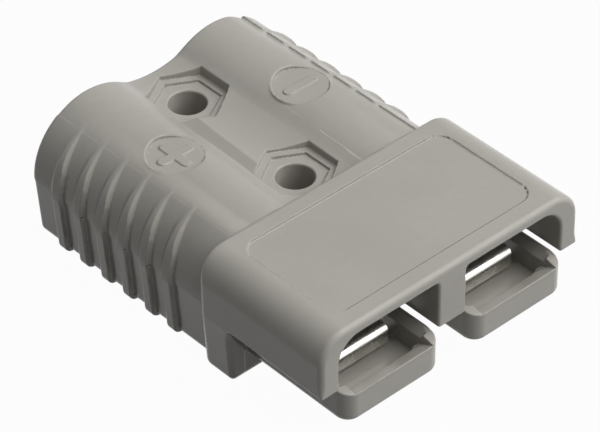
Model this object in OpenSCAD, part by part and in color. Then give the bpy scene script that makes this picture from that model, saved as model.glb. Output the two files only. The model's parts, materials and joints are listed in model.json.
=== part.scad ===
// Genderless two-pole power connector: one moulded housing with a hood and two trays at the
// mating end, and two cable tubes at the other. Each pole holds a contact on a leaf spring.
// The part stands on its flat underside. -Y is the mating direction and +Z is up.

/* [Housing] */
// Width over the hood
hood_w = 56; // [54:0.5:62]
// Length of the hood along its top
hood_len = 29.4; // [26:0.2:32]
// Height of the hood above the parting plane
hood_h = 11.6; // [11.2:0.1:13]
// Radius along the long top edges of the hood
hood_edge_r = 5.4; // [3:0.1:6]
// Radius of the hood's rear corners, seen from above
hood_corner_r = 2; // [1:0.5:4]
// Depth of the housing below the parting plane
lower_h = 11.5; // [11.2:0.1:14]
// Inset of the grip's sides from the hood's sides
grip_inset = 1.8; // [1.5:0.1:3]
// Radius of the lower long edges of the grip
grip_edge_r = 2; // [1:0.2:3]
// Radius of the lower edges of the block under the hood
block_edge_r = 1.4; // [0.6:0.2:2]
// Draft of the sides below the parting plane, in degrees
draft = 4; // [0:0.5:5]

/* [Cable tubes] */
// Distance from the hood's side to the pole's axis
pole_inset = 14.25; // [14:0.05:14.8]
// Outer radius of a cable tube
tube_r = 12.5; // [12.2:0.1:13]
// Drop of a tube's axis below the parting plane at the hood's face
tube_drop = 2.2; // [1.6:0.1:2.6]
// Rise of a tube's axis towards the cable end, in degrees
tube_rise = 1.8; // [0:0.1:2]
// Angle above the side at which a tube's level shoulder ends, in degrees
shoulder_top = 58; // [50:1:62]
// Height of the valley floor above the parting plane, at the front mounting hole
valley_h = 8.45; // [8.3:0.05:9]
// Rise of the valley floor towards the cable end, in degrees
valley_rise = 0.9; // [0:0.1:1.5]
// Distance from the middle to the groove's outer side, between the nut pockets
groove_x = 6; // [5.4:0.1:6.2]
// Width of the groove's floor
groove_w = 0.8; // [0.4:0.1:1.2]
// Distance from the middle to the edge of the land beside the groove
land_x = 2.9; // [2:0.1:3.6]
// Diameter of the cable bore
cable_d = 16.4; // [15:0.1:17]
// Depth of the cable bore from the cable end
cable_depth = 31; // [29:0.5:33]
// Width of the lead-in at the cable end
cable_lead = 0.8; // [0.3:0.1:1.2]

/* [Mouths] */
// Thickness of the hood's side walls
side_wall = 3.8; // [3:0.1:4.4]
// Thickness of the wall between the two mouths
centre_wall = 6; // [5:0.1:7]
// Height of the mouth's roof above the parting plane
roof_h = 9.4; // [8.8:0.1:9.6]
// Depth of a mouth
mouth_depth = 25; // [24:0.5:27]
// Radius of a mouth's outer upper corner
mouth_corner_r = 4.4; // [2:0.1:5]
// Radius of a mouth's inner upper corner
mouth_inner_r = 0.8; // [0.4:0.1:2]

/* [Trays] */
// Reach of a tray in front of the hood's face
tray_reach = 1.4; // [0.5:0.1:2.5]
// Width of a tray
tray_w = 20.6; // [19:0.1:20.8]
// Plane of a tray's underside, below the parting plane
tray_bottom = 7.1; // [6.8:0.1:8.2]
// Drop of a tray's side rims below the parting plane
rim_drop = 0.4; // [0.2:0.1:0.8]
// Drop of a tray's front lip below the parting plane
lip_drop = 1.25; // [0.9:0.05:1.6]
// Radius of a tray's front corners, seen from above
tray_corner_r = 2.7; // [1.5:0.1:4]
// Thickness of a tray's side walls
tray_wall = 2; // [1.4:0.1:2.4]
// Width of the flat on top of a tray's side rims
rim_w = 0.8; // [0.5:0.1:1]
// Depth of the plain ramp behind the front lip
ramp_len = 3.6; // [2.5:0.1:4]
// Drop of the ramp behind the front lip
ramp_drop = 1.6; // [1:0.1:2]
// Recess of the lower block's face behind the hood's face
block_y = 22; // [20:0.2:23]
// Floor of the contact channel, below the parting plane
channel_floor = 5.2; // [4.9:0.1:5.4]
// Roof of the contact channel, above the parting plane
channel_roof = 3.4; // [2.5:0.1:4]
// Width of the contact channel behind the mouths
channel_w = 12; // [11.6:0.1:13]

/* [Mounting holes] */
// Diameter of the two mounting holes
hole_d = 6.6; // [5.5:0.1:7]
// Distance between the mounting holes
hole_pitch = 26.9; // [25:0.1:28]
// Distance from the back of the hood to the front mounting hole
hole_lead = 7.5; // [7.2:0.1:9]
// Distance from the rear mounting hole to the cable end
hole_end = 9.5; // [8:0.1:14]
// Width across the flats of a nut pocket
nut_flats = 10.1; // [9:0.1:10.6]
// Plane of the nut pocket's floor, above the parting plane
nut_floor_h = 7.5; // [7:0.1:7.8]
// Width across the flats of the wide upper pocket
pocket_flats = 12.4; // [11.6:0.1:12.6]
// Plane of the upper pocket's ledge, above the parting plane
ledge_h = 8.1; // [7.9:0.05:8.15]

/* [Grip ribs] */
// Number of ribs on each side
rib_count = 6; // [3:1:7]
// Distance from the back of the hood to the first rib
rib_margin = 7.7; // [4:0.1:10]
// Distance from the last rib's front to the cable end
rib_end = 8.3; // [5:0.1:12]
// Height of a rib above the grip side
rib_proud = 0.9; // [0.5:0.1:1.2]
// Length of a rib along the housing
rib_len = 3.2; // [2.6:0.1:4]
// Length of a rib's steep flank
rib_front = 0.2; // [0.1:0.1:1]
// Length of a rib's crest
rib_crest = 1.4; // [0.2:0.1:1.5]
// Radius of the ring that a rib forms over the tube
rib_ring_r = 9.4; // [9:0.1:10]
// Angle above the side at which that ring stands out most
rib_peak = 18; // [14:1:20]
// Depth to which a rib is rooted in the side
rib_root = 1.2; // [0.6:0.1:2]

/* [Marks] */
// Diameter of the two polarity discs
disc_d = 9.6; // [8:0.1:11]
// Distance of the discs behind the middle between the mounting holes
disc_shift = 0.3; // [-2:0.1:2]
// Depth of the polarity discs below the tube's crest
disc_depth = 0.7; // [0.4:0.1:1]
// Height of the polarity signs
sign_h = 0.25; // [0.2:0.05:0.5]
// Length of a polarity sign's stroke
sign_len = 7.2; // [5:0.1:8]
// Width of a polarity sign's stroke
sign_w = 1.8; // [1:0.1:2.2]
// Depth of the blank panel on the hood
panel_depth = 0.3; // [0.2:0.05:0.6]
// Margin before and behind the blank panel
panel_margin = 3.6; // [2:0.1:6]
// Margin between the blank panel and the hood's rounded edges
panel_side = 0.8; // [0.4:0.1:4]
// Corner radius of the blank panel
panel_r = 3; // [2:0.5:6]

/* [Contacts] */
// Width of a contact's blade
blade_w = 11; // [9:0.1:12]
// Thickness of a contact's blade
blade_t = 2.8; // [2.2:0.1:3]
// Distance from the hood's face to the blade's nose
blade_y = 6; // [4:0.2:8]
// Depth of the hook under the blade's nose
hook_h = 1.3; // [0.8:0.1:1.6]
// Length of the hook
hook_len = 2.2; // [1.6:0.1:3]
// Outer diameter of a contact's crimp barrel
barrel_d = 15.2; // [14:0.1:15.8]
// Bore of a contact's crimp barrel
barrel_bore = 11.2; // [9:0.1:12]
// Length of a crimp barrel
barrel_len = 22; // [18:0.5:24]
// Setback of the flared neck from the end of the cable bore
neck_setback = 1; // [0.5:0.1:2]
// Setback of a crimp barrel from the cable end
barrel_setback = 3; // [1:0.1:6]
// Depth of the bore in a crimp barrel
bore_depth = 19; // [12:0.5:20]
// Diameter of a barrel's sight hole
sight_d = 3; // [2:0.1:4]

/* [Springs] */
// Width of a leaf spring
spring_w = 9; // [7:0.1:11]
// Thickness of a leaf spring
spring_t = 0.8; // [0.5:0.05:1]
// Distance from the hood's face to a spring's front end
spring_y = 9.6; // [9:0.2:12]
// Gap between a spring's rear end and the contact's neck
spring_gap = 2.7; // [1:0.1:4]

/* [Hidden] */
$fn = 64;
over = 1;
touch = 0.05;
pole_x = hood_w / 2 - pole_inset;
grip_w = hood_w - 2 * grip_inset;
hole_y = hood_len + hole_lead;
body_len = hole_y + hole_pitch + hole_end;
rib_y = hood_len + rib_margin;
rib_pitch = (body_len - rib_end - rib_y) / max(1, rib_count - 1);
disc_y = hole_y + hole_pitch / 2 + disc_shift;
channel_open_y = block_y - 4;
tube_axis_z = -tube_drop;
rib_reach = tube_r + rib_proud;
ring_shift = rib_reach * cos(rib_peak) - sqrt(pow(rib_ring_r, 2) - pow(rib_reach * sin(rib_peak), 2));
y_mid = (body_len - tray_reach) / 2;
nut_r = nut_flats / 2 / cos(30);
pocket_r = pocket_flats / 2 / cos(30);
axis_below_valley = valley_h - tube_axis_z - hole_y * tan(tube_rise);
valley_r = (pow(pole_x, 2) + pow(axis_below_valley, 2) - pow(tube_r, 2)) / (2 * (tube_r - axis_below_valley));
valley_half = pole_x * valley_r / (valley_r + tube_r);
panel_w = hood_w - 2 * (hood_edge_r + panel_side);
crest_z = tube_axis_z + disc_y * tan(tube_rise) + tube_r / cos(tube_rise);
disc_floor_z = crest_z - disc_depth;
barrel_y = body_len - barrel_setback - barrel_len;
neck_y = body_len - cable_depth + neck_setback;
spring_len = neck_y - spring_gap - spring_y;
spring_rise = channel_floor - blade_t - spring_t;
spring_bend_r = (spring_len * spring_len / 4 + spring_rise * spring_rise) / (2 * spring_rise);

// The drawing frame has Z = 0 in the parting plane and Y = 0 in the hood's face.
module placed() translate([0, -y_mid, lower_h]) children();
module at_pole(side) translate([side * pole_x, 0, 0]) children();
module both_sides() for (side = [0, 1]) mirror([side, 0, 0]) children();
module along_y(from, to) translate([0, to, 0]) rotate([90, 0, 0]) linear_extrude(to - from) children();
module along_x(w) translate([-w / 2, 0, 0]) rotate([90, 0, 90]) linear_extrude(w) children();

// A rectangle from its lower left corner, with its own radius at each upper corner.
module arched(w, h, r_left, r_right) {
    difference() {
        square([w, h]);
        translate([0, h - r_left]) difference() {
            translate([-over, 0]) square([over + r_left, r_left + over]);
            translate([r_left, 0]) circle(r_left);
        }
        translate([w - r_right, h - r_right]) difference() {
            square([r_right + over, r_right + over]);
            circle(r_right);
        }
    }
}

module rounded_square(w, l, r) {
    translate([r, 0]) square([w - 2 * r, l]);
    translate([0, r]) square([w, l - 2 * r]);
    for (x = [r, w - r], y = [r, l - r]) translate([x, y]) circle(r);
}

// Outline of the hood and its lower block from above, with rounded rear corners.
module hood_plan(h) {
    linear_extrude(h) translate([-hood_w / 2, 0]) arched(hood_w, hood_len, hood_corner_r, hood_corner_r);
}

module hood() {
    intersection() {
        along_y(0, hood_len) translate([-hood_w / 2, 0]) arched(hood_w, hood_h, hood_edge_r, hood_edge_r);
        hood_plan(hood_h + over);
    }
}

// Section below the parting plane, with drafted sides and rounded lower corners.
module lower_section(w, r) {
    centre_x = w / 2 - (lower_h - r) * tan(draft) - r / cos(draft);
    centre_z = r - lower_h;
    half = [[w / 2, 0], [centre_x + r * cos(draft), centre_z - r * sin(draft)], [centre_x, centre_z],
        [centre_x, -lower_h]];
    polygon(concat(half, [for (i = [3 : -1 : 0]) [-half[i][0], half[i][1]]]));
    for (x = [-centre_x, centre_x]) translate([x, centre_z]) circle(r);
}

// Part of the housing below the parting plane, behind the trays.
module lower_half() {
    intersection() {
        along_y(block_y, hood_len) lower_section(hood_w, block_edge_r);
        translate([0, 0, -lower_h]) hood_plan(lower_h);
    }
    along_y(hood_len - hood_corner_r, body_len) lower_section(grip_w, grip_edge_r);
}

// A round bar along a tube's axis, from the drawing frame's front.
module tube_bar(from, to) {
    translate([0, 0, tube_axis_z]) rotate([tube_rise - 90, 0, 0]) translate([0, 0, from])
        cylinder(r = tube_r, h = to - from);
}

// Level shoulder along the outside of a tube, ending in a step near the tube's top.
module shoulder(from, to) {
    along_y(from, to) translate([pole_x, 0]) intersection() {
        circle(tube_r);
        polygon([[0, 0], [2 * tube_r, 0], 2 * tube_r * [cos(shoulder_top), sin(shoulder_top)]]);
    }
}

// Two cable tubes and the hollow between them, cut to the grip's width.
module tubes() {
    grip_from = hood_len - hood_corner_r;
    intersection() {
        translate([-grip_w / 2, grip_from, 0]) cube([grip_w, body_len - grip_from, 2 * tube_r]);
        union() {
            for (side = [-1, 1]) at_pole(side) tube_bar(hood_len - tube_r, body_len + tube_r);
            both_sides() shoulder(grip_from, body_len);
            valley();
        }
    }
}

// Solid between the tubes, under a round valley that runs out into them.
module valley() {
    floor_z = valley_h + valley_r;
    translate([-valley_half, 0, 0]) cube([2 * valley_half, body_len, valley_h / 2]);
    difference() {
        translate([-valley_half, 0, 0]) cube([2 * valley_half, body_len, tube_r]);
        translate([0, hole_y, floor_z]) rotate([valley_rise - 90, 0, 0]) translate([0, 0, -hole_y - over])
            cylinder(r = valley_r, h = body_len + 2 * over, $fn = 128);
        for (side = [-1, 1]) at_pole(side) tube_bar(-over, body_len + over);
    }
}

// Groove beside the flat land between the two nut pockets.
module groove() {
    middle_z = valley_h + hole_pitch / 2 * tan(valley_rise);
    land_z = middle_z + valley_r - sqrt(pow(valley_r, 2) - pow(land_x, 2));
    along_y(hole_y, hole_y + hole_pitch) polygon([[-groove_x, ledge_h], [groove_w - groove_x, ledge_h],
        [-land_x, land_z], [-land_x, hood_h], [-groove_x, hood_h]]);
}

// Section of a grip rib from its root, with the steep flank towards the hood.
module rib_section() {
    polygon([[-rib_root, 0], [0, 0], [rib_proud, rib_front], [rib_proud, rib_front + rib_crest], [0, rib_len],
        [-rib_root, rib_len]]);
}

// A rib runs down the plain side, and over the tube as a ring set off-centre, so that it runs out.
module rib(y) {
    translate([grip_w / 2, y, 0]) rotate([0, draft, 0]) mirror([0, 0, 1])
        linear_extrude(lower_h - grip_edge_r) rib_section();
    intersection() {
        translate([pole_x, 0, 0]) cube([tube_r + over, body_len, 2 * tube_r]);
        translate([pole_x, 0, 0]) {
            rib_ring(y, y + rib_front, rib_ring_r - rib_proud, rib_ring_r);
            rib_ring(y + rib_front, y + rib_front + rib_crest, rib_ring_r, rib_ring_r);
            rib_ring(y + rib_front + rib_crest, y + rib_len, rib_ring_r, rib_ring_r - rib_proud);
        }
    }
}

module rib_ring(from, to, r_from, r_to) {
    translate([ring_shift * cos(rib_peak), from, ring_shift * sin(rib_peak)]) rotate([-90, 0, 0])
        cylinder(r1 = r_from, r2 = r_to, h = to - from);
}

module ribs() {
    for (i = [0 : rib_count - 1]) both_sides() rib(rib_y + i * rib_pitch);
}

// Tray in front of the lower block, with a sloped lip and bevelled rims.
module tray_block() {
    translate([-tray_w / 2, -tray_reach, -tray_bottom]) linear_extrude(tray_bottom - rim_drop) {
        translate([0, tray_corner_r]) square([tray_w, block_y + tray_reach - tray_corner_r + touch]);
        translate([tray_corner_r, 0]) square([tray_w - 2 * tray_corner_r, tray_corner_r]);
        for (x = [tray_corner_r, tray_w - tray_corner_r]) translate([x, tray_corner_r]) circle(tray_corner_r);
    }
}

// Top of a tray: a sloped lip, a ramp behind it, the open channel and the rims' inner bevels.
module tray_cut() {
    inner = tray_w / 2 - tray_wall;
    bevel = tray_wall - rim_w;
    ramp_y = ramp_len - tray_reach;
    along_x(tray_w + 2 * over) polygon([[-tray_reach - over, -lip_drop], [-tray_reach, -lip_drop],
        [ramp_y, -rim_drop], [ramp_y, -rim_drop / 2], [-tray_reach - over, -rim_drop / 2]]);
    along_x(2 * inner) polygon([[-tray_reach, -lip_drop], [ramp_y, -lip_drop - ramp_drop],
        [ramp_y, -channel_floor], [channel_open_y, -channel_floor], [channel_open_y, over],
        [-tray_reach, over]]);
    along_y(tray_corner_r - tray_reach, channel_open_y) polygon([[-inner - bevel, -rim_drop],
        [-inner - bevel, 0], [inner + bevel, 0], [inner + bevel, -rim_drop], [inner, -rim_drop - bevel],
        [-inner, -rim_drop - bevel]]);
}

module mouth() {
    translate([centre_wall / 2, 0, 0]) along_y(-over, mouth_depth)
        arched((hood_w - centre_wall) / 2 - side_wall, roof_h, mouth_inner_r, mouth_corner_r);
}

// Contact channel and cable bore of one pole.
module pole_bore() {
    translate([-channel_w / 2, channel_open_y - touch, -channel_floor])
        cube([channel_w, body_len - cable_depth + over - channel_open_y, channel_floor + channel_roof]);
    translate([0, body_len + over, 0]) rotate([90, 0, 0]) cylinder(d = cable_d, h = cable_depth + over);
    translate([0, body_len + touch, 0]) rotate([90, 0, 0])
        cylinder(d1 = cable_d + 2 * cable_lead, d2 = cable_d, h = cable_lead + touch);
}

module mounting_hole(y) {
    translate([0, y, 0]) {
        translate([0, 0, -lower_h - over]) cylinder(d = hole_d, h = lower_h + hood_h + 2 * over);
        translate([0, 0, nut_floor_h]) rotate(90) cylinder(r = nut_r, h = tube_r, $fn = 6);
        translate([0, 0, ledge_h]) rotate(90) cylinder(r = pocket_r, h = tube_r, $fn = 6);
    }
}

// Flat disc on a tube, which stands out at its outer edge.
module disc_boss() translate([pole_x, disc_y, 0]) cylinder(d = disc_d, h = disc_floor_z);

// Hollow over a disc, with a raised sign in it.
module disc_cut(side) {
    translate([side * pole_x, disc_y, disc_floor_z]) difference() {
        cylinder(d = disc_d, h = tube_r);
        translate([-sign_len / 2, -sign_w / 2, -over]) cube([sign_len, sign_w, sign_h + over]);
        if (side < 0) translate([-sign_w / 2, -sign_len / 2, -over]) cube([sign_w, sign_len, sign_h + over]);
    }
}

module panel_cut() {
    translate([-panel_w / 2, panel_margin, hood_h - panel_depth]) linear_extrude(over)
        rounded_square(panel_w, hood_len - 2 * panel_margin, panel_r);
}

module housing() {
    color("#b4b0a8") placed() difference() {
        union() {
            hood();
            lower_half();
            tubes();
            ribs();
            both_sides() disc_boss();
            for (side = [-1, 1]) at_pole(side) tray_block();
        }
        both_sides() mouth();
        for (side = [-1, 1]) at_pole(side) {
            tray_cut();
            pole_bore();
        }
        for (side = [-1, 1]) disc_cut(side);
        for (y = [hole_y, hole_y + hole_pitch]) mounting_hole(y);
        panel_cut();
        groove();
    }
}

// Side view of a contact's blade, with its rounded nose and the hook under it.
module blade_side(end_y) {
    hook_r = hook_len / 2;
    translate([blade_y + blade_t / 2, -blade_t]) square([end_y - blade_y - blade_t / 2, blade_t]);
    translate([blade_y + blade_t / 2, -blade_t / 2]) circle(blade_t / 2);
    translate([blade_y, hook_r - hook_h - blade_t]) square([hook_len, blade_t / 2 + hook_h - hook_r]);
    translate([blade_y + hook_r, hook_r - hook_h - blade_t]) circle(hook_r);
}

// Contact: a flat blade with a hooked nose, a flared neck and a crimp barrel for the cable.
module contact(side) {
    color("#c9c6c0") placed() at_pole(side) difference() {
        union() {
            along_x(blade_w) blade_side(neck_y + touch);
            hull() {
                translate([-blade_w / 2, neck_y, -blade_t]) cube([blade_w, touch, blade_t]);
                translate([0, barrel_y, 0]) rotate([90, 0, 0]) cylinder(d = barrel_d, h = touch, $fn = 32);
            }
            along_y(barrel_y - touch, barrel_y + barrel_len) circle(d = barrel_d);
        }
        along_y(barrel_y + barrel_len - bore_depth, body_len) circle(d = barrel_bore);
        translate([0, barrel_y + barrel_len - bore_depth + sight_d, 0]) cylinder(d = sight_d, h = barrel_d);
    }
}

// Leaf spring: an arched strip that stands on its two ends and bears on the blade.
module spring(side) {
    half_angle = asin(spring_len / 2 / spring_bend_r);
    reach = spring_bend_r + 2 * spring_t;
    color("#8f9194") placed() at_pole(side) along_x(spring_w)
        translate([spring_y + spring_len / 2, -blade_t - spring_t - spring_bend_r]) intersection() {
            difference() {
                circle(spring_bend_r + spring_t);
                circle(spring_bend_r);
            }
            polygon([[0, 0], [-reach * tan(half_angle), reach], [reach * tan(half_angle), reach]]);
        }
}

housing();
contact(-1);  // left_contact
contact(1);  // right_contact
spring(-1);  // left_spring
spring(1);  // right_spring
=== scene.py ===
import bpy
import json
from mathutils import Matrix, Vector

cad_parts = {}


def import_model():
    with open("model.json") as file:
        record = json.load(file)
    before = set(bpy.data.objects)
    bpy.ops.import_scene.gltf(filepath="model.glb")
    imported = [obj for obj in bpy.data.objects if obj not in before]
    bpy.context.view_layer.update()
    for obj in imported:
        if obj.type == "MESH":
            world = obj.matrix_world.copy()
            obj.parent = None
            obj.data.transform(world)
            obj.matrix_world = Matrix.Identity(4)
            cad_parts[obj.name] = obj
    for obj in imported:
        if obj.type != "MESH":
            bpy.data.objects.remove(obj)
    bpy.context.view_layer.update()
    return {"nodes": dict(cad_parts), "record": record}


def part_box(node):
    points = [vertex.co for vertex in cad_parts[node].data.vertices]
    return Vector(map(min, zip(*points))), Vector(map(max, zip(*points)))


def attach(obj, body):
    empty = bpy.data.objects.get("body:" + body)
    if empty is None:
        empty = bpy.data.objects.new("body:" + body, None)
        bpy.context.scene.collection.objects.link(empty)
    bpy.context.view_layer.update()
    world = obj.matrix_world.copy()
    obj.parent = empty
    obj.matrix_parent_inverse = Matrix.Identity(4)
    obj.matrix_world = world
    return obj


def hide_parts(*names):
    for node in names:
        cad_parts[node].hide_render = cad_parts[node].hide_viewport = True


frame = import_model()

import concurrent.futures
import json
import math

import bpy
import numpy as np
import openvdb
from mathutils import Matrix, Vector

# Genderless two-pole power connector. Shapes are worked out in millimetres in the drawing frame:
# X = 0 in the middle, Y = 0 in the hood's face, Z = 0 in the parting plane. The frame's own boxes
# say where that frame lies.

MM = 0.001
LOW, HIGH = (np.array(corner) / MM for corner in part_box("housing"))
CONTACT_LOW, CONTACT_HIGH = (np.array(corner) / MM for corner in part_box("right_contact"))
MOUNTS = {mount["name"]: mount for mount in frame["record"]["mounts"]}
HOLES = MOUNTS["mounting_holes"]

# Housing
TRAY_REACH = 1.4
FACE_Y = LOW[1] + TRAY_REACH
PARTING_Z = (CONTACT_LOW[2] + CONTACT_HIGH[2]) / 2
POLE_X = (CONTACT_LOW[0] + CONTACT_HIGH[0]) / 2
BODY_LEN = HIGH[1] - FACE_Y
LOWER_H = PARTING_Z - LOW[2]
HOOD_HALF = HIGH[0]
HOOD_LEN = 29.4
HOOD_H = 11.6
HOOD_EDGE_R = 5.4
HOOD_BACK_EDGE_R = 1.2
HOOD_FRONT_EDGE_R = 1.0
HOOD_CORNER_R = 2.0
BLOCK_Y = 22.0
UNDER_EDGE_R = 1.5
END_EDGE_R = 1.1
GRIP_HALF = 26.2
DRAFT = math.tan(math.radians(4.0))
FACE_R = 0.4
FACE_BLEND = 2.5
BODY_FILLET_R = 0.3
GRIP_OVERLAP = 3.0

# Cable tubes and the valley between them
TUBE_R = 12.5
TUBE_AXIS_Z = -2.2
TUBE_RISE = math.radians(1.8)
SHOULDER_TOP = 58.5
SHOULDER_STEP = 0.42
SHOULDER_BLEND = 20.0
SHOULDER_R = 0.12
VALLEY_H = 8.44
VALLEY_Y = 36.9
VALLEY_RISE = math.tan(math.radians(0.9))
VALLEY_R = 20.3
VALLEY_HALF = 8.4
VALLEY_FILL_H = 2.5
GROOVE_X = 6.0
GROOVE_W = 0.8
LAND_X = 2.9
GROOVE_SLOPE = 0.36
GROOVE_R = 0.1
CABLE_R = 8.2
CABLE_DEPTH = 31.0
CABLE_LEAD_R = 0.8
CABLE_LEAD_LEN = 5.0
CABLE_LEAD_BLEND = 2.0
CHANNEL_EDGE_R = 0.1

# Mouths and trays
SIDE_WALL = 3.8
CENTRE_HALF = 3.0
ROOF_H = 9.4
MOUTH_DEPTH = 25.0
MOUTH_OUTER_R = 4.4
MOUTH_INNER_R = 0.8
MOUTH_EDGE_R = 0.5
TRAY_HALF = 10.3
TRAY_BOTTOM = 7.1
TRAY_WALL = 2.0
TRAY_CORNER_R = 2.7
TRAY_BOTTOM_R = 1.5
TRAY_EDGE_R = 0.2
TRAY_INNER_R = 0.15
TRAY_OVERLAP = 1.0
RIM_DROP = 0.4
RIM_W = 0.8
LIP_DROP = 1.25
RAMP_LEN = 3.6
RAMP_DROP = 1.6
CHANNEL_FLOOR = 5.2
CHANNEL_ROOF = 3.4
CHANNEL_HALF = 6.0
CHANNEL_Y = BLOCK_Y - 4.0
CHANNEL_OVERLAP = 0.5
BORE_OVERLAP = 1.0

# Mounting holes
HOLE_R = HOLES["dims"]["hole_r_mm"]
HOLE_PITCH = HOLES["dims"]["spacing_y_mm"]
HOLE_Y = HOLES["pos_m"][1] / MM - FACE_Y - HOLE_PITCH / 2
NUT_HALF = 5.05
NUT_FLOOR_H = 7.5
POCKET_HALF = 6.2
LEDGE_H = 8.1
POCKET_EDGE_R = 0.15
HOLE_EDGE_R = 0.35

# Grip ribs
RIB_COUNT = 6
RIB_Y = 37.1
RIB_PITCH = 5.58
RIB_PROUD = 0.9
RIB_FRONT = 0.25
RIB_CREST_END = 1.8
RIB_LEN = 3.2
RIB_TURN = 22.0
RIB_FADE_FROM = 24.0
RIB_TOP = 67.0
RIB_TIP = 1.5
RIB_CURVE = 1.4

# Marks
DISC_R = 4.8
DISC_RIM = 0.35
DISC_Y = 50.7
DISC_DEPTH = 0.7
DISC_RIM_R = 0.2
DISC_FILLET_R = 0.35
DISC_EDGE_R = 0.3
SIGN_H = 0.25
SIGN_HALF = 3.6
SIGN_R = 0.9
SIGN_EDGE_R = 0.15
SIGN_FOOT_R = 0.1
SIGN_ROOT = 1.0
PANEL_HALF = 21.8
PANEL_FROM = 3.6
PANEL_TO = 25.8
PANEL_DEPTH = 0.3
PANEL_R = 3.0
PANEL_EDGE_R = 0.12

# Mesh
STEP = 0.3
MOST_TRIANGLES = 190000
THREADS = 4
SLAB = 6
SETTLING_TURNS = 3
LEAST_STEEP = 0.2
LEAST_LENGTH = 1e-9
# Share of the way to a triangle's middle at which the slopes at its corners are taken
NORMAL_INSET = 0.3


def join(a, b, r):
    """Distance to two solids together, with a fillet where they meet."""
    return np.maximum(r, np.minimum(a, b)) - np.hypot(np.maximum(r - a, 0), np.maximum(r - b, 0))


def meet(a, b, r):
    """Distance to what two solids share, with its edge rounded."""
    return np.minimum(-r, np.maximum(a, b)) + np.hypot(np.maximum(r + a, 0), np.maximum(r + b, 0))


def cut(a, b, r):
    """Distance to the first solid without the second, with the new edge rounded."""
    return meet(a, -b, r)


def smooth(t):
    """0 below 0, 1 above 1, and a smooth step between."""
    t = np.clip(t, 0, 1)
    return t * t * (3 - 2 * t)


def hexagon(x, y, half):
    """Distance to a hexagon with two flats across X."""
    x, y = np.abs(x), np.abs(y)
    return np.maximum(x, x * 0.5 + y * math.sin(math.pi / 3)) - half


def bar(x, y, half, r):
    """Distance to a bar along X with round ends."""
    return np.hypot(np.maximum(np.abs(x) - (half - r), 0), y) - r


def tube_axis(y):
    return TUBE_AXIS_Z + y * math.tan(TUBE_RISE)


def valley_floor(y):
    return VALLEY_H + (y - VALLEY_Y) * VALLEY_RISE


def hood_and_block(ax, y, z):
    section = meet(ax - HOOD_HALF + np.maximum(-z, 0) * DRAFT, z - HOOD_H, HOOD_EDGE_R)
    upright = smooth((HOOD_H - z) / HOOD_EDGE_R)
    shell = meet(section, y - HOOD_LEN, HOOD_BACK_EDGE_R + (HOOD_CORNER_R - HOOD_BACK_EDGE_R) * upright)
    profile = join(meet(-z, -y, FACE_R), BLOCK_Y - y, FACE_R)
    return meet(shell, profile, FACE_R + (HOOD_FRONT_EDGE_R - FACE_R) * smooth(np.abs(z) / FACE_BLEND))


def rib_share(y, root, crest):
    """Share of a rib's full height along the grip, for ribs that rise from root to crest."""
    phase = np.mod(y - RIB_Y, RIB_PITCH)
    rise = smooth((phase - root) / (crest - root))
    fall = smooth((RIB_LEN - phase) / (RIB_LEN - RIB_CREST_END))
    there = (y > RIB_Y) & (y < RIB_Y + RIB_COUNT * RIB_PITCH)
    return rise * fall * there


def tube(dx, y, z, stepped):
    """One cable tube with its level shoulder and its ribs, where dx grows towards the outside."""
    angle = np.degrees(np.arctan2(z, dx))
    level = np.hypot(dx, z) - TUBE_R
    risen = np.hypot(dx, (z - tube_axis(y)) * math.cos(TUBE_RISE)) - TUBE_R
    up = smooth((angle - SHOULDER_TOP) / SHOULDER_BLEND)
    step = SHOULDER_STEP * stepped
    top = level + step + (risen - level - step) * up
    above = z * math.cos(math.radians(SHOULDER_TOP)) - dx * math.sin(math.radians(SHOULDER_TOP))
    plain = join(top, meet(level, above, SHOULDER_R), SHOULDER_R)
    climb = smooth((angle - RIB_FADE_FROM) / (RIB_TOP - RIB_FADE_FROM))
    ribbed = level - RIB_PROUD + (top + RIB_PROUD - level) * climb
    lift = np.clip((angle - RIB_TURN) / (RIB_TOP - RIB_TURN), 0, 1)
    root = RIB_TIP * lift ** RIB_CURVE
    crest = RIB_FRONT + RIB_TIP * (1 - (1 - lift) ** 2)
    share = rib_share(y, root, crest) * (angle < RIB_TOP)
    return plain + (ribbed - plain) * share


def grip(x, y, z):
    ax = np.abs(x)
    valley = VALLEY_R - np.hypot(ax, z - valley_floor(y) - VALLEY_R)
    valley = np.maximum(valley, np.maximum(ax - VALLEY_HALF, z - valley_floor(y) - VALLEY_FILL_H))
    upper = np.maximum(join(tube(ax - POLE_X, y, z, x > 0), valley, BODY_FILLET_R), -z)
    rib = RIB_PROUD * rib_share(y, 0.0, RIB_FRONT)
    lower = np.maximum(ax - GRIP_HALF - rib - z * DRAFT, z)
    return meet(np.minimum(upper, lower), np.maximum(y - BODY_LEN, HOOD_LEN - GRIP_OVERLAP - y), END_EDGE_R)


def mouth(ax, y, z):
    outer = meet(ax - (HOOD_HALF - SIDE_WALL), z - ROOF_H, MOUTH_OUTER_R)
    inner = meet(CENTRE_HALF - ax, z - ROOF_H, MOUTH_INNER_R)
    floor = np.minimum(-z, y - BLOCK_Y)
    return np.maximum(np.maximum(outer, inner), np.maximum(y - MOUTH_DEPTH, floor))


def tray(px, y, z):
    """The tray of one pole, where px is the distance from the pole's middle plane."""
    front = -TRAY_REACH - y
    outline = meet(px - TRAY_HALF, front, TRAY_CORNER_R)
    lip_slope = (LIP_DROP - RIM_DROP) / RAMP_LEN
    lip = (z + LIP_DROP - (y + TRAY_REACH) * lip_slope) / math.hypot(1, lip_slope)
    top = np.maximum(z + RIM_DROP, lip)
    solid = meet(meet(outline, -z - TRAY_BOTTOM, TRAY_BOTTOM_R), top, TRAY_EDGE_R)
    return np.maximum(solid, y - BLOCK_Y - TRAY_OVERLAP)


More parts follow.
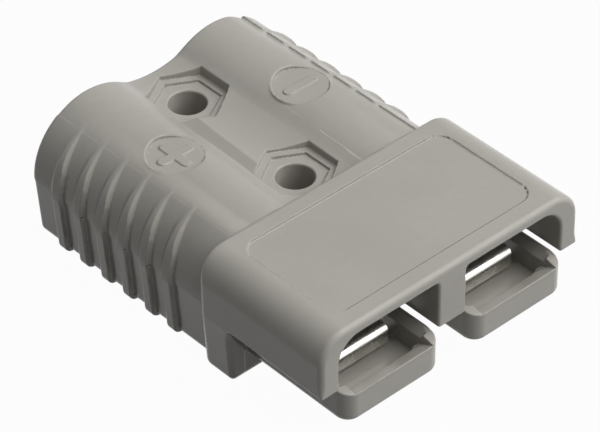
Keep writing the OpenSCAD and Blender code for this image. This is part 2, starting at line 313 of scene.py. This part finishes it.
def tray_hollow(px, y, z):
    inner = TRAY_HALF - TRAY_WALL
    slope = RAMP_DROP / RAMP_LEN
    ramp = (-LIP_DROP - (y + TRAY_REACH) * slope - z) / math.hypot(1, slope)
    ramp_end = RAMP_LEN - TRAY_REACH
    floor = join(ramp, np.maximum(ramp_end - y, -CHANNEL_FLOOR - z), TRAY_EDGE_R)
    hollow = np.maximum(px - inner, floor)
    bevel = np.maximum((px - inner - RIM_DROP - (TRAY_WALL - RIM_W) - z) * math.sqrt(0.5),
                       TRAY_CORNER_R - TRAY_REACH - y)
    bevel = np.maximum(np.maximum(bevel, px - TRAY_HALF + RIM_W), -CHANNEL_FLOOR - z)
    return np.maximum(np.minimum(hollow, bevel), np.maximum(y - CHANNEL_Y, z - TRAY_OVERLAP))


def contact_way(px, y, z):
    channel = np.maximum(np.maximum(px - CHANNEL_HALF, z - CHANNEL_ROOF), -CHANNEL_FLOOR - z)
    past_ends = np.maximum(CHANNEL_Y - CHANNEL_OVERLAP - y, y - (BODY_LEN - CABLE_DEPTH + BORE_OVERLAP))
    channel = np.maximum(channel, past_ends)
    bore = np.maximum(np.hypot(px, z) - CABLE_R, BODY_LEN - CABLE_DEPTH - y)
    return np.minimum(channel, bore)


def nut_pocket(x, y, z):
    wide = np.maximum(hexagon(x, y, POCKET_HALF), LEDGE_H - z)
    narrow = np.maximum(hexagon(x, y, NUT_HALF), NUT_FLOOR_H - z)
    return np.minimum(wide, narrow)


def housing_distance(x, y, z):
    """Distance to the housing's surface, less than 0 inside."""
    ax = np.abs(x)
    px = np.abs(ax - POLE_X)
    solid = join(hood_and_block(ax, y, z), grip(x, y, z), BODY_FILLET_R)
    solid = meet(solid, -z - LOWER_H, UNDER_EDGE_R)
    solid = cut(solid, mouth(ax, y, z), MOUTH_EDGE_R)
    solid = join(solid, tray(px, y, z), TRAY_EDGE_R)
    solid = cut(solid, tray_hollow(px, y, z), TRAY_INNER_R)
    lead = CABLE_LEAD_R * smooth((y - BODY_LEN + CABLE_LEAD_LEN) / CABLE_LEAD_BLEND)
    solid = cut(solid, contact_way(px, y, z), lead + CHANNEL_EDGE_R)

    strip = np.maximum(LEDGE_H - z, LEDGE_H + (x + GROOVE_X - GROOVE_W) * GROOVE_SLOPE - z)
    strip = np.maximum(np.maximum(strip, x + LAND_X), -GROOVE_X - x)
    strip = np.maximum(strip, np.maximum(HOLE_Y - y, y - HOLE_Y - HOLE_PITCH))
    solid = cut(solid, strip, GROOVE_R)

    near_hole = np.abs(y - HOLE_Y - HOLE_PITCH / 2) - HOLE_PITCH / 2
    solid = cut(solid, nut_pocket(x, near_hole, z), POCKET_EDGE_R)
    solid = cut(solid, np.hypot(x, near_hole) - HOLE_R, HOLE_EDGE_R)

    disc_z = tube_axis(DISC_Y) + TUBE_R / math.cos(TUBE_RISE) - DISC_DEPTH
    across = np.hypot(ax - POLE_X, y - DISC_Y)
    boss = np.maximum(meet(across - DISC_R - DISC_RIM, z - disc_z, DISC_RIM_R), -z)
    solid = join(solid, boss, DISC_FILLET_R)
    solid = cut(solid, np.maximum(across - DISC_R, disc_z - z), DISC_EDGE_R)
    sign = bar(ax - POLE_X, y - DISC_Y, SIGN_HALF, SIGN_R)
    upright = bar(y - DISC_Y, ax - POLE_X, SIGN_HALF, SIGN_R)
    sign = np.where(x < 0, np.minimum(sign, upright), sign)
    sign = np.maximum(meet(sign, z - disc_z - SIGN_H, SIGN_EDGE_R), disc_z - SIGN_ROOT - z)
    solid = join(solid, sign, SIGN_FOOT_R)

    panel_y = (PANEL_FROM + PANEL_TO) / 2
    panel = meet(ax - PANEL_HALF, np.abs(y - panel_y) - (PANEL_TO - PANEL_FROM) / 2, PANEL_R)
    solid = cut(solid, np.maximum(panel, HOOD_H - PANEL_DEPTH - z), PANEL_EDGE_R)
    return solid


def slope_of(distance, points, step=0.01):
    """The direction in which a distance grows, at each point, and how fast."""
    slopes = np.empty_like(points)
    for axis in range(3):
        shift = np.zeros(3)
        shift[axis] = step
        slopes[:, axis] = distance(*(points + shift).T) - distance(*(points - shift).T)
    return slopes / (2 * step)


def surface_mesh(name, distance, low, high, step):
    """A closed mesh of the surface on which a distance is 0, in metres, shaded by its true slopes."""
    low, high = np.array(low, float) - 2 * step, np.array(high, float) + 2 * step
    counts = np.ceil((high - low) / step).astype(int) + 1
    xs, ys, zs = (low[i] + step * np.arange(counts[i]) for i in range(3))
    grid = np.empty(counts, np.float32)

    def fill(first):
        part = np.meshgrid(xs[first:first + SLAB], ys, zs, indexing="ij")
        grid[first:first + SLAB] = distance(*(c.astype(np.float32) for c in part))

    with concurrent.futures.ThreadPoolExecutor(THREADS) as pool:
        list(pool.map(fill, range(0, counts[0], SLAB)))
    volume = openvdb.FloatGrid()
    volume.copyFromArray(grid)
    points, triangles, quads = volume.convertToPolygons(isovalue=0.0, adaptivity=0.0)
    points = low + points * step
    faces = [tuple(f) for f in triangles] + [tuple(f) for f in quads]
    mesh = bpy.data.meshes.new(name)
    mesh.from_pydata(points, [], faces)
    piece = bpy.data.objects.new(name, mesh)
    bpy.context.scene.collection.objects.link(piece)
    thin = piece.modifiers.new("thin", "DECIMATE")
    thin.ratio = min(1.0, MOST_TRIANGLES / (2 * len(faces)))
    thin.use_collapse_triangulate = True
    thin_mesh = bpy.data.meshes.new_from_object(piece.evaluated_get(bpy.context.evaluated_depsgraph_get()))
    piece.modifiers.remove(thin)
    piece.data = thin_mesh
    thin_mesh.name = name

    points = np.empty(3 * len(thin_mesh.vertices), np.float32)
    thin_mesh.vertices.foreach_get("co", points)
    points = points.reshape(-1, 3).astype(float)
    for turn in range(SETTLING_TURNS):
        slopes = slope_of(distance, points)
        steep = np.maximum((slopes ** 2).sum(axis=1), LEAST_STEEP)
        move = slopes * (distance(*points.T) / steep)[:, None]
        longest = np.maximum(np.linalg.norm(move, axis=1), LEAST_LENGTH)
        points -= move * np.minimum(1, 0.5 * step / longest)[:, None]
    corners = np.empty(len(thin_mesh.loops), np.int32)
    thin_mesh.loops.foreach_get("vertex_index", corners)
    places = points[corners].reshape(-1, 3, 3)
    inner = (places + NORMAL_INSET * (places.mean(axis=1, keepdims=True) - places)).reshape(-1, 3)
    normals = slope_of(distance, inner)
    normals /= np.maximum(np.linalg.norm(normals, axis=1), LEAST_LENGTH)[:, None]
    points = (points + np.array([0, FACE_Y, PARTING_Z])) * MM
    thin_mesh.vertices.foreach_set("co", points.astype(np.float32).ravel())
    thin_mesh.polygons.foreach_set("use_smooth", np.ones(len(thin_mesh.polygons), bool))
    thin_mesh.update()
    thin_mesh.normals_split_custom_set([tuple(normal) for normal in normals])
    return piece


# Materials ------------------------------------------------------------------------------------

GRAIN_DEPTH = 0.00001


class Value:
    """A socket with a number in it. Its operators add Math nodes."""

    def __init__(self, maker, socket):
        self.maker = maker
        self.socket = socket

    def math(self, operation, *others):
        return self.maker.add("ShaderNodeMath", {"operation": operation}, self, *others)

    def __mul__(self, other):
        return self.math("MULTIPLY", other)

    __rmul__ = __mul__


class Finish:
    """One node material, built from expressions."""

    def __init__(self, name):
        self.material = bpy.data.materials.new(name)
        self.material.use_nodes = True
        self.tree = self.material.node_tree
        self.tree.nodes.clear()

    def add(self, kind, settings=None, *values, **named):
        """Any node: its settings first, then its sockets by place or by name."""
        node = self.tree.nodes.new(kind)
        for key, value in (settings or {}).items():
            setattr(node, key, value)
        sockets = list(enumerate(values)) + [(key.replace("_", " "), v) for key, v in named.items()]
        for key, value in sockets:
            if isinstance(value, Value):
                self.tree.links.new(value.socket, node.inputs[key])
            elif value is not None:
                node.inputs[key].default_value = value
        self.last = node
        return Value(self, node.outputs[0]) if len(node.outputs) else None

    def place(self):
        """X, Y and Z on the piece, in metres."""
        self.add("ShaderNodeTexCoord")
        self.coordinates = Value(self, self.last.outputs["Object"])
        self.add("ShaderNodeSeparateXYZ", None, self.coordinates)
        return [Value(self, self.last.outputs[i]) for i in range(3)]

    def noise(self, scale, detail):
        return self.add("ShaderNodeTexNoise", Vector=self.coordinates, Scale=scale, Detail=detail)

    def steps(self, value, low, high, to_low=0.0, to_high=1.0):
        return self.add("ShaderNodeMapRange", {"interpolation_type": "SMOOTHSTEP"}, value, low, high,
                        to_low, to_high)

    def mix(self, amount, a, b):
        node = self.tree.nodes.new("ShaderNodeMix")
        node.data_type = "RGBA"
        for socket, value in ((node.inputs[0], amount), (node.inputs[6], a), (node.inputs[7], b)):
            if isinstance(value, Value):
                self.tree.links.new(value.socket, socket)
            else:
                socket.default_value = value
        return Value(self, node.outputs[2])

    def bump(self, height, strength):
        return self.add("ShaderNodeBump", Strength=strength, Distance=GRAIN_DEPTH, Height=height)

    def finish(self, **sockets):
        shader = self.add("ShaderNodeBsdfPrincipled", None, **sockets)
        self.add("ShaderNodeOutputMaterial", None, shader)
        return self.material


def colour(r, g, b):
    return (r, g, b, 1.0)


def moulded_plastic():
    """Warm grey moulded plastic with a fine texture, slightly cloudy, with a satin gloss."""
    f = Finish("moulded_grey_plastic")
    f.place()
    cloud = f.noise(45.0, 3.0)
    speck = f.noise(900.0, 2.0)
    grain = f.noise(2600.0, 2.0)
    base = f.mix(f.steps(cloud, 0.35, 0.65), colour(0.385, 0.368, 0.335), colour(0.405, 0.388, 0.355))
    base = f.mix(f.steps(speck, 0.3, 0.7, 0.0, 0.12), base, colour(0.34, 0.32, 0.29))
    return f.finish(
        Base_Color=base,
        Roughness=f.steps(cloud, 0.3, 0.7, 0.18, 0.24),
        Specular_IOR_Level=0.25,
        IOR=1.5,
        Normal=f.bump(grain, 0.35),
    )


def silver_plate():
    """Silver plating on copper, drawn along the contact, with a light tarnish."""
    f = Finish("silver_plate")
    f.place()
    tarnish = f.noise(160.0, 4.0)
    scratch = f.noise(1500.0, 2.0)
    base = f.mix(f.steps(tarnish, 0.4, 0.75), colour(0.80, 0.79, 0.76), colour(0.62, 0.59, 0.53))
    return f.finish(Base_Color=base, Metallic=1.0, Roughness=f.steps(tarnish, 0.3, 0.8, 0.2, 0.38),
                    Normal=f.bump(scratch, 0.4))


def spring_steel():
    f = Finish("spring_steel")
    f.place()
    patch = f.noise(220.0, 3.0)
    grain = f.noise(1800.0, 2.0)
    base = f.mix(f.steps(patch, 0.35, 0.7), colour(0.45, 0.45, 0.46), colour(0.33, 0.33, 0.35))
    return f.finish(Base_Color=base, Metallic=1.0, Roughness=f.steps(patch, 0.3, 0.7, 0.25, 0.35),
                    Normal=f.bump(grain, 0.4))


# Scene ----------------------------------------------------------------------------------------

FRAME_WIDTH = 600
SENSOR = 36.0
CAMERA_DISTANCE = 0.5478
# Picture widths in 1/600 for one millimetre at the place looked at
SCALE = 6.102
LOOKED_AT_Y = 35
WORLD_STRENGTH = 0.03
FLOOR_HALF = 1.5
FLOOR_SHADE = 0.25
FLOOR_GLOW = 0.97
LAMP_SIZE = 0.9
LAMP_AIM_Z = 0.01
# Azimuth and elevation in degrees, and power in watts
LAMPS = ((315, 50, 8.30), (0, 88, 2.85), (315, 15, 2.58), (270, 50, 1.50), (45, 15, 0.19), (90, 50, 0.14))


def dress(piece, material):
    piece.data.materials.clear()
    piece.data.materials.append(material)
    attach(piece, "root")


def dress_frame_node(name, material):
    node = frame["nodes"][name]
    for place in node.material_slots:
        place.material = material


def camera():
    """Looks at the connector from above, in front and to its left."""
    azimuth, elevation, roll = (math.radians(a) for a in (-41.64, 39.57, -0.90))
    back = Vector((math.sin(azimuth) * math.cos(elevation), -math.cos(azimuth) * math.cos(elevation),
                   math.sin(elevation)))
    level = Vector((math.cos(azimuth), math.sin(azimuth), 0))
    over = back.cross(level)
    right = math.cos(roll) * level + math.sin(roll) * over
    up = -math.sin(roll) * level + math.cos(roll) * over
    data = bpy.data.cameras.new("camera")
    data.sensor_width = SENSOR
    data.lens = SCALE * CAMERA_DISTANCE / MM * SENSOR / FRAME_WIDTH
    data.shift_x = -3.54 / FRAME_WIDTH
    data.shift_y = 0.97 / FRAME_WIDTH
    data.clip_start = 0.01
    data.clip_end = 20
    eye = bpy.data.objects.new("camera", data)
    bpy.context.scene.collection.objects.link(eye)
    middle = Vector((0, LOOKED_AT_Y + FACE_Y, PARTING_Z)) * MM
    turn = Matrix((right, up, back)).transposed().to_4x4()
    eye.matrix_world = Matrix.Translation(middle + back * CAMERA_DISTANCE) @ turn
    bpy.context.scene.camera = eye


def lamp(azimuth, elevation, power):
    """A soft square lamp that looks at the connector from 1 m away."""
    data = bpy.data.lights.new("lamp", "AREA")
    data.shape = "SQUARE"
    data.size = LAMP_SIZE
    data.energy = power
    light = bpy.data.objects.new("lamp", data)
    bpy.context.scene.collection.objects.link(light)
    around, above = math.radians(azimuth), math.radians(elevation)
    back = Vector((math.cos(above) * math.cos(around), math.cos(above) * math.sin(around), math.sin(above)))
    light.location = back + Vector((0, 0, LAMP_AIM_Z))
    light.rotation_euler = (-back).to_track_quat("-Z", "Y").to_euler()


def world():
    """Plain light from all round, and white where the camera sees past the floor."""
    sky = bpy.data.worlds.new("studio")
    bpy.context.scene.world = sky
    sky.use_nodes = True
    tree = sky.node_tree
    tree.nodes.clear()
    paths = tree.nodes.new("ShaderNodeLightPath")
    seen = paths.outputs["Is Camera Ray"]
    for kind in ("Is Glossy Ray", "Is Transmission Ray"):
        either = tree.nodes.new("ShaderNodeMath")
        either.operation = "MAXIMUM"
        tree.links.new(seen, either.inputs[0])
        tree.links.new(paths.outputs[kind], either.inputs[1])
        seen = either.outputs[0]
    plain = tree.nodes.new("ShaderNodeBackground")
    plain.inputs["Color"].default_value = colour(1.0, 0.985, 0.96)
    plain.inputs["Strength"].default_value = WORLD_STRENGTH
    white = tree.nodes.new("ShaderNodeBackground")
    white.inputs["Strength"].default_value = 1.0
    mix = tree.nodes.new("ShaderNodeMixShader")
    out = tree.nodes.new("ShaderNodeOutputWorld")
    tree.links.new(seen, mix.inputs[0])
    tree.links.new(plain.outputs[0], mix.inputs[1])
    tree.links.new(white.outputs[0], mix.inputs[2])
    tree.links.new(mix.outputs[0], out.inputs[0])


def white_floor():
    """Pale floor that shows white to the camera and keeps a faint shadow."""
    mesh = bpy.data.meshes.new("floor")
    corners = [(FLOOR_HALF * x, FLOOR_HALF * y, 0) for x, y in ((-1, -1), (1, -1), (1, 1), (-1, 1))]
    mesh.from_pydata(corners, [], [(0, 1, 2, 3)])
    floor = bpy.data.objects.new("floor", mesh)
    bpy.context.scene.collection.objects.link(floor)
    f = Finish("pale_floor")
    f.add("ShaderNodeLightPath")
    camera_ray, glossy_ray, through = (Value(f, f.last.outputs[kind]) for kind in
                                       ("Is Camera Ray", "Is Glossy Ray", "Is Transmission Ray"))
    seen = camera_ray.math("MAXIMUM", glossy_ray).math("MAXIMUM", through)
    matte = f.add("ShaderNodeBsdfDiffuse", Color=colour(FLOOR_SHADE, FLOOR_SHADE, FLOOR_SHADE))
    glow = f.add("ShaderNodeEmission", Color=colour(1, 1, 1), Strength=1.0)
    mixed = f.add("ShaderNodeMixShader", None, seen * FLOOR_GLOW, matte, glow)
    f.add("ShaderNodeOutputMaterial", None, mixed)
    mesh.materials.append(f.material)


def studio():
    bpy.context.scene.view_settings.view_transform = "Standard"
    camera()
    world()
    white_floor()
    for azimuth, elevation, power in LAMPS:
        lamp(azimuth, elevation, power)


def main():
    step = STEP
    shell = surface_mesh("housing_shell", housing_distance, (LOW[0], -TRAY_REACH, -LOWER_H),
                         (HIGH[0], BODY_LEN, HIGH[2] - PARTING_Z), step)
    dress(shell, moulded_plastic())
    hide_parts("housing")
    silver, steel = silver_plate(), spring_steel()
    for side in ("left", "right"):
        dress_frame_node(side + "_contact", silver)
        dress_frame_node(side + "_spring", steel)
    studio()


main()
